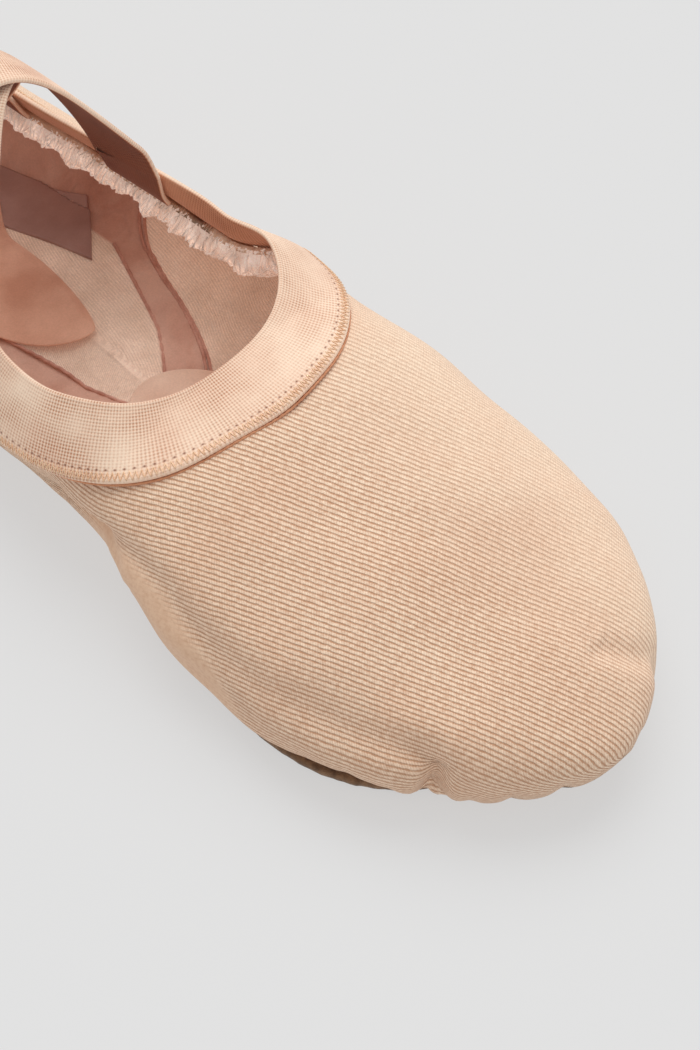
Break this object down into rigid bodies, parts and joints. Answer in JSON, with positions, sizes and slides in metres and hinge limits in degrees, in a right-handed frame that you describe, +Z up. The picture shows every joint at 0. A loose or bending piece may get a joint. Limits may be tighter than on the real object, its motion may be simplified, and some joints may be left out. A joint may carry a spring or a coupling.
{
  "type": "ballet shoe",
  "caption": "Soft ballet slipper: ribbed canvas upper over suede sole patches at forefoot and heel, wide elastic collar and crossed elastic straps.",
  "frame": {"origin": "on the floor, under the middle of the shoe's length and width", "axes": "+X towards the toe, +Y towards the left side, +Z up"},
  "size_m": [0.2362, 0.0826, 0.0715],
  "materials": {
    "canvas": "ribbed stretch canvas, matt",
    "elastic": "fine woven elastic, matt",
    "suede": "napped suede",
    "sock": "smooth worn cloth"
  },
  "bodies": {
    "root": {"upper": "canvas", "forefoot_sole": "suede", "heel_sole": "suede", "forefoot_sock": "sock", "heel_sock": "sock", "collar_band": "elastic", "strap_over": "elastic", "strap_under": "elastic"}
  },
  "joints": []
}
